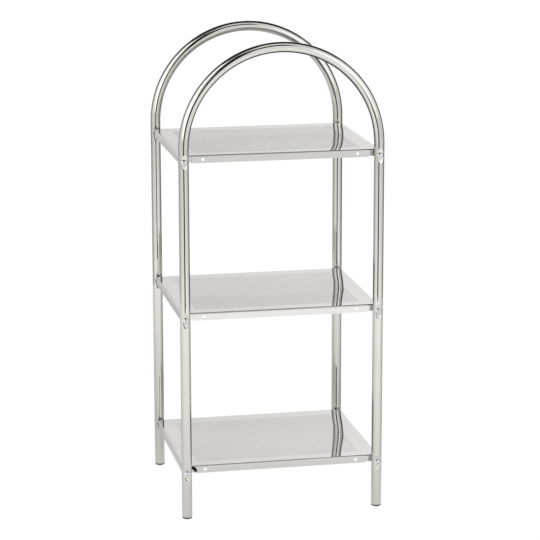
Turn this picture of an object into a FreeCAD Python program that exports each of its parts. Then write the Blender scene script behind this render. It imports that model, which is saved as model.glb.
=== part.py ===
import FreeCAD, Part
import Sketcher
import math
import os

# Three-tier chrome shelf. Two bent tube arches, front and rear, carry three sheet trays between them.
# The origin is on the floor below the middle of the footprint. X is the width, -Y the front and Z up.

# Driving dimensions in millimetres, with what each one measures
SIZES = [
    ("leg_spacing", 360, "width between the leg axes of one arch"),
    ("arch_spacing", 332, "depth between the axes of the two arches"),
    ("total_height", 880, "floor to the crown of the arches"),
    ("tube_diameter", 19, "outside diameter of the tube"),
    ("tube_wall", 1.2, "wall of the tube"),
    ("dimple_depth", 2, "depth of the dimple pressed under each screw head"),
    ("dimple_radius", 42, "radius of the level bar that presses the dimple"),
    ("inner_dimple_depth", 1.2, "depth of the shallower dimple on a tube's inner face"),
    ("inner_dimple_radius", 90, "radius of the level bar that presses the inner dimple"),
    ("bottom_shelf_height", 96, "floor to the top of the bottom shelf"),
    ("top_shelf_drop", 12.5, "where the bend starts, down to the top of the top shelf"),
    ("shelf_gap", 2, "gap between a tube and the shelf's flange"),
    ("sheet_thickness", 1, "thickness of the shelf sheet"),
    ("flange_height", 14, "height of the turned-down flange"),
    ("edge_radius", 3, "outside radius of the rolled edges"),
    ("corner_opening", 22, "width of each corner where the front and rear flanges leave the tab bare"),
    ("tab_overlap", 8, "length of a corner tab behind the flange"),
    ("tab_rise", 1.5, "height of the corner tab's lower edge above the flange's"),
    ("jig_hole_inset", 20.5, "distance from a flange's end to the round hole near it"),
    ("jig_hole_diameter", 6, "diameter of that hole"),
    ("jig_hole_drop", 7.5, "depth of that hole below the shelf's top"),
    ("side_margin", 31.5, "plain strip of a shelf's top along each side"),
    ("front_margin", 26.5, "plain strip of a shelf's top along the front"),
    ("rear_margin", 32, "plain strip of a shelf's top along the rear"),
    ("opening_diameter", 13, "diameter of each opening in a shelf's top"),
    ("screw_drop", 9, "depth of the screws below the shelf's top"),
    ("screw_diameter", 5, "diameter of a screw's shank"),
    ("hole_clearance", 0.5, "how much wider a screw hole is than the shank"),
    ("head_diameter", 12, "diameter of a screw's head"),
    ("head_height", 3.6, "height of a screw's head"),
    ("head_top", 7.8, "diameter to which the head's sloped side narrows at the head's full height"),
    ("head_crown", 8, "radius of the head's domed top"),
    ("recess_length", 5.4, "length of each slot of the cross recess"),
    ("recess_width", 1.2, "width of each slot of the cross recess"),
    ("recess_depth", 2, "depth of the cross recess"),
    ("nut_width", 8, "nut across the flats"),
    ("nut_height", 4, "height of a nut"),
    ("nut_clearance", 0.1, "how much wider the nut's bore is than the shank"),
    ("nut_side_gap", 0.5, "gap between a nut's flat and the side flange"),
    ("screw_overrun", 1.5, "length of shank past the nut"),
    ("spacer_edge_gap", 0.2, "gap between a spacer's disc and the rolled edge above it"),
    ("spacer_boss", 9, "diameter of the spacer's boss, which sits in the inner dimple"),
    ("tube_gap", 0.3, "gap between a spacer's disc and the tube"),
    ("cap_height", 3.4, "height of a foot cap's lip below the tube's end"),
    ("cap_edge_radius", 3.2, "rounding of the lip's lower edge"),
    ("plug_length", 14, "length of the plug inside the tube"),
    ("plug_clearance", 0.2, "how much narrower the plug is than the tube's bore"),
    ("plug_wall", 1.6, "wall of the hollow plug"),
    ("bumper_radius", 10.6, "outside radius of the bent rubber bumper"),
    ("bumper_width", 6, "width of the bumper's strip"),
    ("bumper_thickness", 1.8, "thickness of the bumper"),
    ("bumper_sweep", 105, "degrees that the bumper turns through"),
    ("bumper_inset", 16.5, "distance from the shelf's side to the bumper's centre"),
    ("bumper_drop", 10.5, "distance from the shelf's top down to the bumper's centre"),
]

TIERS = ("bottom", "middle", "top")
SIDES = (("left", -1), ("right", 1))
ARCHES = (("front", -1), ("rear", 1))
OPENING_COLUMNS = 12
OPENING_ROWS = 10

doc = FreeCAD.newDocument("bathroom_shelf")
sheet = doc.addObject("Spreadsheet::Sheet", "Sizes")
for row, (alias, value, meaning) in enumerate(SIZES, start=1):
    sheet.set(f"A{row}", meaning)
    sheet.set(f"B{row}", str(value))
    sheet.setAlias(f"B{row}", alias)
doc.recompute()


def size(alias):
    """A driving dimension as a number."""
    return float(sheet.get(alias))


def bound(kind, name, **expressions):
    """A document object whose sizes and place follow the sheet; x, y and z are its place."""
    thing = doc.addObject(kind, name)
    for key, text in expressions.items():
        path = f"Placement.Base.{key}" if key in ("x", "y", "z") else key
        thing.setExpression(path, text)
    return thing


def joined(name, pieces):
    """The union of several objects."""
    union = doc.addObject("Part::MultiFuse", name)
    union.Shapes = pieces
    return union


def cut(name, base, tool):
    """One object less another."""
    result = doc.addObject("Part::Cut", name)
    result.Base = base
    result.Tool = tool
    return result


def gathered(name, pieces):
    """Several objects that lie apart, as one."""
    group = doc.addObject("Part::Compound", name)
    group.Links = pieces
    return group


def plane_of(body, role):
    """One of a body's own origin planes."""
    return next(feature for feature in body.Origin.OriginFeatures if feature.Role == role)


def sketch_on(body, name, role):
    """An empty sketch on one of a body's origin planes."""
    sketch = body.newObject("Sketcher::SketchObject", name)
    sketch.AttachmentSupport = [(plane_of(body, role), "")]
    sketch.MapMode = "FlatFace"
    return sketch


# Places that several pieces share, as expressions of the sheet
TUBE_RADIUS = "Sizes.tube_diameter / 2"
SPRING_HEIGHT = "Sizes.total_height - Sizes.leg_spacing / 2 - Sizes.tube_diameter / 2"
SHELF_WIDTH = "(Sizes.leg_spacing + Sizes.nut_width + 2 * Sizes.nut_side_gap + 2 * Sizes.sheet_thickness)"
SHELF_DEPTH = "(Sizes.arch_spacing - Sizes.tube_diameter - 2 * Sizes.shelf_gap)"
FLANGE_END = f"({SHELF_WIDTH} / 2 - Sizes.corner_opening)"
TAB_FACE = f"({SHELF_DEPTH} / 2 - Sizes.sheet_thickness)"
HOLE_DIAMETER = "(Sizes.screw_diameter + Sizes.hole_clearance)"
FIELD_WIDTH = f"({SHELF_WIDTH} - 2 * Sizes.side_margin)"
FIELD_DEPTH = f"({SHELF_DEPTH} - Sizes.front_margin - Sizes.rear_margin)"
FIELD_FRONT = f"(Sizes.front_margin - {SHELF_DEPTH} / 2)"


def shelf_top(tier):
    """Shelf heights, evenly spaced from the bottom shelf to the one just below the bend."""
    share = TIERS.index(tier) / (len(TIERS) - 1)
    return f"({1 - share} * Sizes.bottom_shelf_height + {share} * ({SPRING_HEIGHT} - Sizes.top_shelf_drop))"


def screw_height(tier):
    """The height of a shelf's screws."""
    return f"({shelf_top(tier)} - Sizes.screw_drop)"


def leg_x(side):
    """The axis of the left or right legs."""
    return f"({side} * Sizes.leg_spacing / 2)"


def arch_y(depth):
    """The axis of the front or rear arch."""
    return f"({depth} * Sizes.arch_spacing / 2)"


# Arches
def arch_path(name, depth):
    """The tube's centre line: up one leg, over the half-round top and down the other leg."""
    sketch = doc.addObject("Sketcher::SketchObject", name)
    upright = FreeCAD.Rotation(FreeCAD.Vector(1, 0, 0), 90)
    sketch.Placement = FreeCAD.Placement(FreeCAD.Vector(0, 0, 0), upright)
    sketch.setExpression("Placement.Base.y", arch_y(depth))
    half = size("leg_spacing") / 2
    spring = size("total_height") - half - size("tube_diameter") / 2
    foot = size("cap_height")
    right_leg = [FreeCAD.Vector(half, foot, 0), FreeCAD.Vector(half, spring, 0)]
    right = sketch.addGeometry(Part.LineSegment(*right_leg))
    circle = Part.Circle(FreeCAD.Vector(0, spring, 0), FreeCAD.Vector(0, 0, 1), half)
    top = sketch.addGeometry(Part.ArcOfCircle(circle, 0, math.pi))
    left_leg = [FreeCAD.Vector(-half, spring, 0), FreeCAD.Vector(-half, foot, 0)]
    left = sketch.addGeometry(Part.LineSegment(*left_leg))
    start, end, centre, origin = 1, 2, 3, -1
    relation(sketch, "Coincident", right, end, top, start)
    relation(sketch, "Coincident", top, end, left, start)
    relation(sketch, "Vertical", right)
    relation(sketch, "Vertical", left)
    relation(sketch, "PointOnObject", top, centre, -2)
    relation(sketch, "Horizontal", top, start, top, centre)
    relation(sketch, "Horizontal", top, end, top, centre)
    measure(sketch, "half_width", "Radius", "Sizes.leg_spacing / 2", top, half)
    measure(sketch, "spring_height", "DistanceY", SPRING_HEIGHT, origin, start, top, centre, spring)
    measure(sketch, "right_foot", "DistanceY", "Sizes.cap_height", origin, start, right, start, foot)
    measure(sketch, "left_foot", "DistanceY", "Sizes.cap_height", origin, start, left, end, foot)
    return sketch


def relation(sketch, *terms):
    """A geometric constraint."""
    sketch.addConstraint(Sketcher.Constraint(*terms))


def measure(sketch, name, kind, expression, *terms):
    """A dimension of a sketch that follows the sheet."""
    index = sketch.addConstraint(Sketcher.Constraint(kind, *terms))
    sketch.renameConstraint(index, name)
    sketch.setExpression(f"Constraints.{name}", expression)


def swept(name, path, depth, radius):
    """A round bar along an arch's centre line."""
    ring = bound("Part::Circle", f"{name}_ring", Radius=radius,
                 x=leg_x(1), y=arch_y(depth), z="Sizes.cap_height")
    sweep = doc.addObject("Part::Sweep", name)
    sweep.Sections = [ring]
    sweep.Spine = (path, ["Edge1", "Edge2", "Edge3"])
    sweep.Solid = True
    return sweep


def punches(name, depth, wall):
    """Level round bars across both faces of the tube at each screw, which press the dimples."""
    bars = []
    for tier in TIERS:
        for side_name, side in SIDES:
            for face, dimple in ((depth, "dimple"), (-depth, "inner_dimple")):
                out = f"{face} * ({TUBE_RADIUS} - Sizes.{dimple}_depth + Sizes.{dimple}_radius)"
                bar = bound("Part::Cylinder", f"{name}_{tier}_{side_name}",
                            Radius=f"Sizes.{dimple}_radius + {wall}", Height="2 * Sizes.tube_diameter",
                            x=f"{leg_x(side)} - Sizes.tube_diameter", y=f"{arch_y(depth)} + {out}",
                            z=screw_height(tier))
                bar.Placement.Rotation = FreeCAD.Rotation(FreeCAD.Vector(0, 1, 0), 90)
                bars.append(bar)
    return joined(name, bars)


def arch(name, depth):
    """One bent tube, dimpled and drilled for its screws."""
    path = arch_path(f"{name}_path", depth)
    bar = swept(f"{name}_bar", path, depth, TUBE_RADIUS)
    bore = swept(f"{name}_bore", path, depth, f"{TUBE_RADIUS} - Sizes.tube_wall")
    pressed = cut(f"{name}_pressed", bar, punches(f"{name}_dimples", depth, "0"))
    walls = punches(f"{name}_dimple_walls", depth, "Sizes.tube_wall")
    tube = cut(f"{name}_tube", pressed, cut(f"{name}_hollow", bore, walls))
    drills = []
    for tier in TIERS:
        for side_name, side in SIDES:
            drill = bound("Part::Cylinder", f"{name}_drill_{tier}_{side_name}",
                          Radius=f"{HOLE_DIAMETER} / 2", Height="2 * Sizes.tube_diameter",
                          x=leg_x(side), y=f"{arch_y(depth)} + Sizes.tube_diameter", z=screw_height(tier))
            drill.Placement.Rotation = FreeCAD.Rotation(FreeCAD.Vector(1, 0, 0), 90)
            drills.append(drill)
    return cut(name, tube, joined(f"{name}_drills", drills))


# Shelves
def tray(name, tier):
    """The folded sheet: a flat top with rolled edges and a flange all round, open below."""
    body = doc.addObject("PartDesign::Body", name)
    body.setExpression("Placement.Base.z", shelf_top(tier))
    outline = sketch_on(body, f"{name}_outline", "XY_Plane")
    wide = size("leg_spacing") / 2 + size("nut_width") / 2 + size("nut_side_gap") + size("sheet_thickness")
    deep = size("arch_spacing") / 2 - size("tube_diameter") / 2 - size("shelf_gap")
    corners = [(-wide, -deep), (wide, -deep), (wide, deep), (-wide, deep)]
    points = [FreeCAD.Vector(x, y, 0) for x, y in corners]
    for first, second in zip(points, points[1:] + points[:1]):
        outline.addGeometry(Part.LineSegment(first, second))
    start, end, origin = 1, 2, -1
    for line in range(4):
        relation(outline, "Coincident", line, end, (line + 1) % 4, start)
    for line in (0, 2):
        relation(outline, "Horizontal", line)
        relation(outline, "Vertical", line + 1)
    relation(outline, "Symmetric", 0, start, 2, start, origin, start)
    measure(outline, "width", "DistanceX", SHELF_WIDTH, 0, start, 0, end, 2 * wide)
    measure(outline, "depth", "DistanceY", SHELF_DEPTH, 1, start, 1, end, 2 * deep)
    slab = body.newObject("PartDesign::Pad", f"{name}_slab")
    slab.Profile = outline
    slab.Reversed = True
    slab.setExpression("Length", "Sizes.flange_height")
    doc.recompute()
    rolled = body.newObject("PartDesign::Fillet", f"{name}_rolled")
    rolled.Base = (slab, [f"Edge{index}" for index, edge in enumerate(slab.Shape.Edges, start=1)
                          if max(vertex.Z for vertex in edge.Vertexes) > -size("flange_height") / 2])
    rolled.setExpression("Radius", "Sizes.edge_radius")
    doc.recompute()
    shell = body.newObject("PartDesign::Thickness", f"{name}_shell")
    floor = min(range(len(rolled.Shape.Faces)), key=lambda index: rolled.Shape.Faces[index].CenterOfMass.z)
    shell.Base = (rolled, [f"Face{floor + 1}"])
    shell.Reversed = True
    shell.setExpression("Value", "Sizes.sheet_thickness")
    body.Tip = shell
    return body


def opening_pins():
    """A plain grid of round pins, tall enough to cut the openings of all the shelves."""
    pins = []
    for column in range(OPENING_COLUMNS):
        across = f"{(column + 0.5) / OPENING_COLUMNS - 0.5} * {FIELD_WIDTH}"
        for row in range(OPENING_ROWS):
            along = f"{FIELD_FRONT} + {(row + 0.5) / OPENING_ROWS} * {FIELD_DEPTH}"
            pins.append(bound("Part::Cylinder", f"opening_pin_{column}_{row}", Height="Sizes.total_height",
                              Radius="Sizes.opening_diameter / 2", x=across, y=along))
    return gathered("opening_pins", pins)


def block(name, tier, low, high):
    """A box between two corners, given as expressions, with heights below the shelf's top."""
    spans = [f"({top}) - ({bottom})" for bottom, top in zip(low, high)]
    return bound("Part::Box", name, Length=spans[0], Width=spans[1], Height=spans[2],
                 x=low[0], y=low[1], z=f"{shelf_top(tier)} + ({low[2]})")


def shelf(tier, pins):
    """A pierced tray; its front and rear flanges stop short of the corners, where tabs stand behind them."""
    name = f"{tier}_shelf"
    notches, tabs, drills = [], [], []
    for arch_name, depth in ARCHES:
        for side_name, side in SIDES:
            place = f"{arch_name}_{side_name}"
            near = (f"{depth} * {TAB_FACE}", f"{depth} * {SHELF_DEPTH}")
            across = (f"{side} * {FLANGE_END}", f"{side} * {SHELF_WIDTH}")
            tab_x = (f"{side} * ({FLANGE_END} - Sizes.tab_overlap)",
                     f"{side} * ({SHELF_WIDTH} / 2 - Sizes.sheet_thickness / 2)")
            tab_y = (f"{depth} * ({TAB_FACE} - Sizes.sheet_thickness)", near[0])
            if side < 0:
                across, tab_x = across[::-1], tab_x[::-1]
            if depth < 0:
                near, tab_y = near[::-1], tab_y[::-1]
            below = ("-2 * Sizes.flange_height", "-Sizes.edge_radius")
            tab_z = ("-Sizes.flange_height + Sizes.tab_rise", "-Sizes.edge_radius + Sizes.sheet_thickness")
            notches.append(block(f"{name}_notch_{place}", tier, (across[0], near[0], below[0]),
                                 (across[1], near[1], below[1])))
            tabs.append(block(f"{name}_tab_{place}", tier, (tab_x[0], tab_y[0], tab_z[0]),
                              (tab_x[1], tab_y[1], tab_z[1])))
    for side_name, side in SIDES:
        holes = (("screw", leg_x(side), f"{HOLE_DIAMETER} / 2", "Sizes.screw_drop"),
                 ("jig", f"{side} * ({FLANGE_END} - Sizes.jig_hole_inset)", "Sizes.jig_hole_diameter / 2",
                  "Sizes.jig_hole_drop"))
        for hole, across, radius, drop in holes:
            drill = bound("Part::Cylinder", f"{name}_{hole}_{side_name}",
                          Radius=radius, Height=f"2 * {SHELF_DEPTH}",
                          x=across, y=SHELF_DEPTH, z=f"{shelf_top(tier)} - {drop}")
            drill.Placement.Rotation = FreeCAD.Rotation(FreeCAD.Vector(1, 0, 0), 90)
            drills.append(drill)
    notched = cut(f"{name}_notched", tray(f"{name}_tray", tier), joined(f"{name}_notches", notches))
    tabbed = joined(f"{name}_tabbed", [notched] + tabs)
    drilled = cut(f"{name}_drilled", tabbed, joined(f"{name}_drills", drills))
    return cut(name, drilled, pins)


def dimple_floor(dimple, radius):
    """The distance from the tube's axis to a dimple's floor, so far above or below the screw."""
    rise = f"Sizes.{dimple}_radius - sqrt(Sizes.{dimple}_radius ^ 2 - ({radius}) ^ 2)"
    return f"({TUBE_RADIUS} - Sizes.{dimple}_depth + {rise})"


# Fasteners, along +Z from the tube's axis outwards
HEAD_SEAT = dimple_floor("dimple", "Sizes.head_diameter / 2")
TAB_REACH = f"(Sizes.arch_spacing / 2 - {TAB_FACE})"
NUT_SEAT = f"({TAB_REACH} + Sizes.sheet_thickness)"
SCREW_TIP = f"({NUT_SEAT} + Sizes.nut_height + Sizes.screw_overrun)"


def screw_model():
    """A pan-head screw with a cross recess."""
    shank = bound("Part::Cylinder", "screw_shank", Radius="Sizes.screw_diameter / 2",
                  Height=f"{SCREW_TIP} + {HEAD_SEAT}", z=f"-{SCREW_TIP}")
    side = bound("Part::Cone", "screw_side", Radius1="Sizes.head_diameter / 2", Radius2="Sizes.head_top / 2",
                 Height="Sizes.head_height", z=HEAD_SEAT)
    crown = bound("Part::Sphere", "screw_crown", Radius="Sizes.head_crown",
                  z=f"{HEAD_SEAT} + Sizes.head_height - Sizes.head_crown")
    head = doc.addObject("Part::Common", "screw_head")
    head.Base = side
    head.Tool = crown
    floor = f"{HEAD_SEAT} + Sizes.head_height - Sizes.recess_depth"
    long, short = "Sizes.recess_length", "Sizes.recess_width"
    slots = []
    for name, along, across in (("wide", long, short), ("tall", short, long)):
        slots.append(bound("Part::Box", f"screw_slot_{name}", Length=along, Width=across,
                           Height="Sizes.head_height", x=f"-{along} / 2", y=f"-{across} / 2", z=floor))
    return cut("screw_model", joined("screw_blank", [shank, head]), joined("screw_recess", slots))


def nut_model():
    """A hexagon nut."""
    hexagon = bound("Part::Prism", "nut_hexagon", Circumradius="Sizes.nut_width / sqrt(3)",
                    Height="Sizes.nut_height", z=f"-({NUT_SEAT} + Sizes.nut_height)")
    hexagon.Polygon = 6
    hexagon.Placement.Rotation = FreeCAD.Rotation(FreeCAD.Vector(0, 0, 1), 30)
    bore = bound("Part::Cylinder", "nut_bore", Radius="(Sizes.screw_diameter + Sizes.nut_clearance) / 2",
                 Height="3 * Sizes.nut_height", z=f"-({NUT_SEAT} + 2 * Sizes.nut_height)")
    return cut("nut_model", hexagon, bore)


def spacer_model():
    """A round spacer with a boss that sits in the inner dimple."""
    boss_seat = dimple_floor("inner_dimple", "Sizes.spacer_boss / 2")
    disc = bound("Part::Cylinder", "spacer_disc",
                 Radius="Sizes.screw_drop - Sizes.edge_radius - Sizes.spacer_edge_gap",
                 Height=f"{TAB_REACH} - {TUBE_RADIUS} - Sizes.tube_gap", z=f"-{TAB_REACH}")
    boss = bound("Part::Cylinder", "spacer_post", Radius="Sizes.spacer_boss / 2",
                 Height=f"{TAB_REACH} - {boss_seat}", z=f"-{TAB_REACH}")
    bore = bound("Part::Cylinder", "spacer_bore", Radius=f"{HOLE_DIAMETER} / 2",
                 Height=f"2 * {TAB_REACH}", z=f"-2 * {TAB_REACH}")
    return cut("spacer_model", joined("spacer_blank", [disc, boss]), bore)


def fastener_group(label, model, tier):
    """One copy of a fastener at each of a shelf's four corners, pointing outwards."""
    spring = size("total_height") - size("leg_spacing") / 2 - size("tube_diameter") / 2
    share = TIERS.index(tier) / (len(TIERS) - 1)
    top = (1 - share) * size("bottom_shelf_height") + share * (spring - size("top_shelf_drop"))
    height = top - size("screw_drop")
    copies = []
    for arch_name, depth in ARCHES:
        turn = FreeCAD.Rotation(FreeCAD.Vector(0, 0, 1), FreeCAD.Vector(0, depth, 0))
        for side_name, side in SIDES:
            place = FreeCAD.Vector(side * size("leg_spacing") / 2, depth * size("arch_spacing") / 2, height)
            copy = model.Shape.copy()
            copy.Placement = FreeCAD.Placement(place, turn).multiply(copy.Placement)
            copies.append(copy)
    group = doc.addObject("Part::Feature", label)
    group.Shape = Part.makeCompound(copies)
    return group


# Feet and bumper
PLUG_RADIUS = f"{TUBE_RADIUS} - Sizes.tube_wall - Sizes.plug_clearance / 2"


def foot_cap(name, side, depth):
    """A plug pushed into a leg, with a rounded lip that stands on the floor."""
    body = doc.addObject("PartDesign::Body", name)
    body.setExpression("Placement.Base.x", leg_x(side))
    body.setExpression("Placement.Base.y", arch_y(depth))
    origin, start, centre = -1, 1, 3
    lip_outline = sketch_on(body, f"{name}_lip_outline", "XY_Plane")
    lip_radius = size("tube_diameter") / 2
    lip_outline.addGeometry(Part.Circle(FreeCAD.Vector(0, 0, 0), FreeCAD.Vector(0, 0, 1), lip_radius))
    relation(lip_outline, "Coincident", 0, centre, origin, start)
    measure(lip_outline, "lip_radius", "Radius", TUBE_RADIUS, 0, lip_radius)
    lip = body.newObject("PartDesign::Pad", f"{name}_lip")
    lip.Profile = lip_outline
    lip.setExpression("Length", "Sizes.cap_height")
    doc.recompute()
    rounded = body.newObject("PartDesign::Fillet", f"{name}_rounded")
    rounded.Base = (lip, [f"Edge{index}" for index, edge in enumerate(lip.Shape.Edges, start=1)
                          if edge.BoundBox.ZMax < size("cap_height") / 2])
    rounded.setExpression("Radius", "Sizes.cap_edge_radius")
    plug_outline = sketch_on(body, f"{name}_plug_outline", "XY_Plane")
    plug_outline.setExpression("AttachmentOffset.Base.z", "Sizes.cap_height")
    plug_radius = size("tube_diameter") / 2 - size("tube_wall") - size("plug_clearance") / 2
    plug_outline.addGeometry(Part.Circle(FreeCAD.Vector(0, 0, 0), FreeCAD.Vector(0, 0, 1), plug_radius))
    relation(plug_outline, "Coincident", 0, centre, origin, start)
    measure(plug_outline, "plug_radius", "Radius", PLUG_RADIUS, 0, plug_radius)
    plug = body.newObject("PartDesign::Pad", f"{name}_plug")
    plug.Profile = plug_outline
    plug.setExpression("Length", "Sizes.plug_length")
    hollow_outline = sketch_on(body, f"{name}_hollow_outline", "XY_Plane")
    hollow_outline.setExpression("AttachmentOffset.Base.z", "Sizes.cap_height + Sizes.plug_length")
    hollow_radius = plug_radius - size("plug_wall")
    hollow_outline.addGeometry(Part.Circle(FreeCAD.Vector(0, 0, 0), FreeCAD.Vector(0, 0, 1), hollow_radius))
    relation(hollow_outline, "Coincident", 0, centre, origin, start)
    measure(hollow_outline, "hollow_radius", "Radius", f"{PLUG_RADIUS} - Sizes.plug_wall", 0, hollow_radius)
    hollow = body.newObject("PartDesign::Pocket", f"{name}_hollow")
    hollow.Profile = hollow_outline
    hollow.setExpression("Length", "Sizes.plug_length")
    body.Tip = hollow
    return body


def rubber_bumper():
    """A bent strip of rubber on the left end of the bottom shelf's front flange."""
    centre_x = f"-{SHELF_WIDTH} / 2 + Sizes.bumper_inset"
    centre_z = f"{shelf_top('bottom')} - Sizes.bumper_drop"
    flange_face = f"-{SHELF_DEPTH} / 2"
    outer = bound("Part::Cylinder", "bumper_outer", Radius="Sizes.bumper_radius",
                  Height="Sizes.bumper_thickness", Angle="Sizes.bumper_sweep",
                  x=centre_x, y=flange_face, z=centre_z)
    inner = bound("Part::Cylinder", "bumper_inner", Radius="Sizes.bumper_radius - Sizes.bumper_width",
                  Height="2 * Sizes.bumper_thickness", x=centre_x,
                  y=f"{flange_face} + Sizes.bumper_thickness / 2", z=centre_z)
    for ring in (outer, inner):
        ring.Placement.Rotation = FreeCAD.Rotation(FreeCAD.Vector(1, 0, 0), 90)
    return cut("rubber_bumper", outer, inner)


nodes = {}
for arch_name, depth in ARCHES:
    nodes[f"{arch_name}_arch"] = arch(f"{arch_name}_arch", depth)
pins = opening_pins()
for tier in TIERS:
    nodes[f"{tier}_shelf"] = shelf(tier, pins)
for arch_name, depth in ARCHES:
    for side_name, side in SIDES:
        label = f"{arch_name}_{side_name}_foot_cap"
        nodes[label] = foot_cap(label, side, depth)
nodes["rubber_bumper"] = rubber_bumper()
models = {"screws": screw_model(), "nuts": nut_model(), "spacers": spacer_model()}
doc.recompute()
for tier in TIERS:
    for kind, model in models.items():
        label = f"{tier}_shelf_{kind}"
        nodes[label] = fastener_group(label, model, tier)
doc.recompute()

for thing in doc.Objects:
    if "Invalid" in thing.State or "Error" in thing.State:
        raise RuntimeError(f"{thing.Name} failed: {thing.State}")
os.makedirs("parts", exist_ok=True)
for label, thing in nodes.items():
    thing.Label = label
    if thing.Shape.isNull() or not thing.Shape.isValid():
        raise RuntimeError(f"{label} has no valid shape")
for label, thing in nodes.items():
    thing.Shape.exportStep(os.path.join("parts", f"{label}.step"))
    print(label, len(thing.Shape.Solids), "solids", round(thing.Shape.Volume), "mm3")
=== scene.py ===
import math

import bpy
from mathutils import Matrix, Vector
from mathutils.geometry import delaunay_2d_cdt


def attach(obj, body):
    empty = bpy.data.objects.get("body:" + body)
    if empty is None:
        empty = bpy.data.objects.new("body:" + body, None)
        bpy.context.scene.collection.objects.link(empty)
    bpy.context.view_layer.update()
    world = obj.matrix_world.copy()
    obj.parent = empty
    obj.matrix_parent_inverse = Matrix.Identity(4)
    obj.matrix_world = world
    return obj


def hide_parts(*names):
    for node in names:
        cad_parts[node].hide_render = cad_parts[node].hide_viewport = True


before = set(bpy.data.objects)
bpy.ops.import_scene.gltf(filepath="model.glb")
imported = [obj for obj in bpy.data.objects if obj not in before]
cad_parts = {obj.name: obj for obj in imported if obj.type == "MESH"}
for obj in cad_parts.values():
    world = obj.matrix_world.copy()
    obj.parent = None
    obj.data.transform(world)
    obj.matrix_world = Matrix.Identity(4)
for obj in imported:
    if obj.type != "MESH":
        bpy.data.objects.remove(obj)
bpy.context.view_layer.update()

MM = 0.001
TIERS = ("bottom", "middle", "top")
SIDES = (-1, 1)


def node_box(name):
    """The low and the high corner of a solid's box in millimetres, to a tenth."""
    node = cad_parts[name]
    points = [node.matrix_world @ vertex.co for vertex in node.data.vertices]
    low = [round(min(p[axis] for p in points) / MM, 1) for axis in range(3)]
    high = [round(max(p[axis] for p in points) / MM, 1) for axis in range(3)]
    return low, high


# Sizes in millimetres, read from the solids
arch_low, arch_high = node_box("rear_arch")
TUBE_R = (arch_high[1] - arch_low[1]) / 2
ARCH_Y = (arch_high[1] + arch_low[1]) / 2
LEG_X = arch_high[0] - TUBE_R
BEND_R = LEG_X
SPRING_Z = arch_high[2] - TUBE_R - BEND_R
CAP_H = arch_low[2]
shelf_low, shelf_high = node_box("bottom_shelf")
SHELF_X = shelf_high[0]
SHELF_Y = shelf_high[1]
FLANGE_H = shelf_high[2] - shelf_low[2]
SHELF_TOPS = {tier: node_box(f"{tier}_shelf")[1][2] for tier in TIERS}

# Other sizes in millimetres, the same as those of the solids
TUBE_WALL = 1.2
CAP_EDGE_R = 3.2
DIMPLE_DEPTH = 2.0
DIMPLE_R = 42.0
INNER_DIMPLE_DEPTH = 1.2
INNER_DIMPLE_R = 90.0
SCREW_DROP = 9.0
SHEET = 1.0
EDGE_R = 3.0
CORNER_OPENING = 22.0
FLANGE_END = SHELF_X - CORNER_OPENING
TAB_OVERLAP = 8.0
TAB_RISE = 1.5
JIG_INSET = 20.5
JIG_X = FLANGE_END - JIG_INSET
JIG_DROP = 7.5
JIG_R = 3.0
HEAD_R = 6.0
HEAD_H = 3.6
HEAD_TOP_R = 3.9
HEAD_CROWN = 8.0
SHANK_R = 2.5
NUT_H = 4.0
SCREW_OVERRUN = 1.5
BUMPER_R = 10.6
BUMPER_W = 6.0
BUMPER_T = 1.8
BUMPER_SWEEP = 105.0
BUMPER_INSET = 16.5
BUMPER_DROP = 10.5

# The perforated field of a shelf: staggered columns of round holes
HOLE_R = 1.1
HOLE_SIDES = 10
HOLE_PITCH = 5.1
COLUMN_STEP = HOLE_PITCH * math.sqrt(3) / 2
COLUMNS = 70
ROWS = 49
FIELD_FRONT = -126.5


# Mesh building
def circle(radius, sides):
    """Points round a circle about the origin."""
    turns = [2 * math.pi * i / sides for i in range(sides)]
    return [(radius * math.cos(turn), radius * math.sin(turn)) for turn in turns]


def quarter_turn(steps):
    """Angles from zero to a right angle."""
    return [0.5 * math.pi * k / steps for k in range(steps + 1)]


def smooth_least(a, b, reach):
    """The lesser of two lengths, with a rounded change from one to the other."""
    share = min(1.0, max(0.0, 0.5 + 0.5 * (b - a) / reach))
    return b + (a - b) * share - reach * share * (1.0 - share)


def soft_step(low, high, value):
    """A share that goes gently from 0 at low to 1 at high."""
    share = min(1.0, max(0.0, (value - low) / (high - low)))
    return share * share * (3 - 2 * share)


def facing(ring):
    """The direction that a ring of points faces; its length is twice the ring's area."""
    total = Vector((0, 0, 0))
    for a, b in zip(ring, ring[1:] + ring[:1]):
        total += a.cross(b)
    return total


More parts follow.
